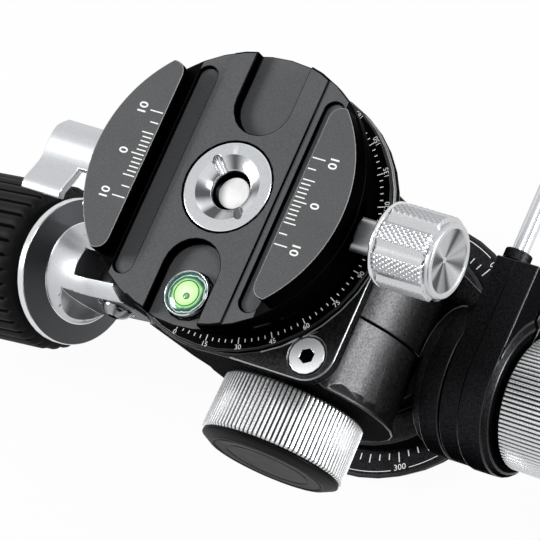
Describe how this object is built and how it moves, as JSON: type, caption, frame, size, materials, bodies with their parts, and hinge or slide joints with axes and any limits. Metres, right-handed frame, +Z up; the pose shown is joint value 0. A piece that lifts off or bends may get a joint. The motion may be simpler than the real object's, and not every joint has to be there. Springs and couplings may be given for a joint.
{
  "type": "three-way pan head",
  "caption": "Three-way tripod head: panning base, tilt and roll axes with fluted lock knobs, folding ribbed handle and a panning dovetail clamp with a bull's-eye level.",
  "frame": {"origin": "centre of the base disc's underside, on the pan axis", "axes": "+Z up along the pan axis; +X along the tilt axis towards the tilt knob; -Y is the front with the roll knob; the handle points along -X"},
  "size_m": [0.1889, 0.1058, 0.1049],
  "materials": {
    "anodised_grey": "bead-blasted and anodised dark grey, matt",
    "anodised_black": "bead-blasted and anodised black, satin",
    "satin_aluminium": "turned and clear anodised, satin silver",
    "bright_steel": "machined stainless steel",
    "chromed_steel": "polished chrome plate",
    "brass": "turned brass",
    "white_acetal": "slippery white polymer",
    "black_plastic": "moulded black plastic, satin",
    "grip_rubber": "moulded ribbed black rubber",
    "level_glass": "green filled level vial"
  },
  "bodies": {
    "base": {"base_disc": "anodised_black", "thread_bush": "bright_steel", "pan_friction_ring": "white_acetal", "pan_retainer_nut": "bright_steel"},
    "pan": {"pan_platform": "anodised_black", "pan_cover": "anodised_black", "pan_arm": "anodised_black", "arm_screw_front": "bright_steel", "arm_screw_rear": "bright_steel", "tilt_bush": "brass"},
    "pan_lock": {"pan_lock_knob": "satin_aluminium", "pan_lock_stud": "bright_steel"},
    "tilt": {"middle_body": "anodised_black", "roll_axle": "bright_steel", "tilt_stud": "bright_steel", "clamp_collar": "anodised_black", "collar_screw": "bright_steel", "rod_lever": "satin_aluminium", "rod_ring": "satin_aluminium", "handle_tongue": "anodised_black"},
    "tilt_lock": {"tilt_knob": "satin_aluminium", "tilt_knob_cap": "black_plastic"},
    "roll": {"upper_body": "anodised_black", "plate_screw": "bright_steel", "rotator_scale_ring": "anodised_black", "rotator_hub": "bright_steel"},
    "roll_lock": {"roll_knob": "satin_aluminium", "roll_knob_cap": "black_plastic"},
    "rotator_lock": {"rotator_lock_knob": "satin_aluminium", "rotator_lock_stud": "bright_steel"},
    "clamp": {"clamp_body": "anodised_grey", "keeper_ring": "brass", "centre_nut": "satin_aluminium", "level_bezel": "chromed_steel", "level_vial": "level_glass", "guide_pin_front": "bright_steel", "guide_pin_rear": "bright_steel", "jaw_spring_front": "bright_steel", "jaw_spring_rear": "bright_steel"},
    "jaw": {"sliding_jaw": "anodised_grey"},
    "jaw_screw": {"clamp_screw": "bright_steel", "clamp_knob": "satin_aluminium"},
    "handle": {"handle_fork": "satin_aluminium", "fold_screw": "bright_steel", "fold_nut": "bright_steel", "grip_spindle": "bright_steel"},
    "grip": {"handle_grip": "grip_rubber", "grip_cap": "black_plastic"},
    "fold_lock": {"lock_lever": "satin_aluminium"}
  },
  "joints": [
    {"name": "pan_turn", "type": "hinge", "parent": "base", "child": "pan", "pos_m": [0, 0, 0.0063], "axis": [0, 0, 1], "continuous": true},
    {"name": "tilt_turn", "type": "hinge", "parent": "pan", "child": "tilt", "pos_m": [0, -0.01, 0.038], "axis": [1, 0, 0], "range_deg": [-30, 30]},
    {"name": "roll_turn", "type": "hinge", "parent": "tilt", "child": "roll", "pos_m": [0.0118, 0, 0.0575], "axis": [0, 1, 0], "range_deg": [-30, 30]},
    {"name": "rotator_turn", "type": "hinge", "parent": "roll", "child": "clamp", "pos_m": [0, 0, 0.0843], "axis": [0, 0, 1], "continuous": true},
    {"name": "pan_lock_turn", "type": "hinge", "parent": "pan", "child": "pan_lock", "pos_m": [-0.02234, 0.0129, 0.0115], "axis": [-0.866, 0.5, 0], "range_deg": [-30, 300]},
    {"name": "tilt_knob_turn", "type": "hinge", "parent": "tilt", "child": "tilt_lock", "pos_m": [0.0533, -0.01, 0.038], "axis": [1, 0, 0], "range_deg": [-30, 300]},
    {"name": "roll_knob_turn", "type": "hinge", "parent": "tilt", "child": "roll_lock", "pos_m": [0.0118, -0.0302, 0.0575], "axis": [0, -1, 0], "range_deg": [-30, 300]},
    {"name": "rotator_lock_turn", "type": "hinge", "parent": "roll", "child": "rotator_lock", "pos_m": [-0.0323, 0.008, 0.0764], "axis": [-1, 0, 0], "range_deg": [-30, 300]},
    {"name": "jaw_screw_turn", "type": "hinge", "parent": "clamp", "child": "jaw_screw", "pos_m": [0.03, 0, 0.0934], "axis": [1, 0, 0], "range_deg": [0, 1152]},
    {"name": "jaw_slide", "type": "slide", "parent": "clamp", "child": "jaw", "axis": [-1, 0, 0], "range_m": [0, 0.004]},
    {"name": "fold_turn", "type": "hinge", "parent": "tilt", "child": "handle", "pos_m": [-0.0498, -0.012, 0.0402], "axis": [0, 1, 0], "range_deg": [-60, 15]},
    {"name": "grip_turn", "type": "hinge", "parent": "handle", "child": "grip", "pos_m": [-0.0498, -0.012, 0.0402], "axis": [-0.9563, 0, -0.2924], "continuous": true},
    {"name": "fold_lock_turn", "type": "hinge", "parent": "handle", "child": "fold_lock", "pos_m": [-0.0498, -0.012, 0.0402], "axis": [0, 1, 0], "range_deg": [-10, 40]}
  ],
  "couplings": [
    {"joint": "jaw_slide", "follows": "jaw_screw_turn", "m_per_rad": 0.00019894}
  ]
}
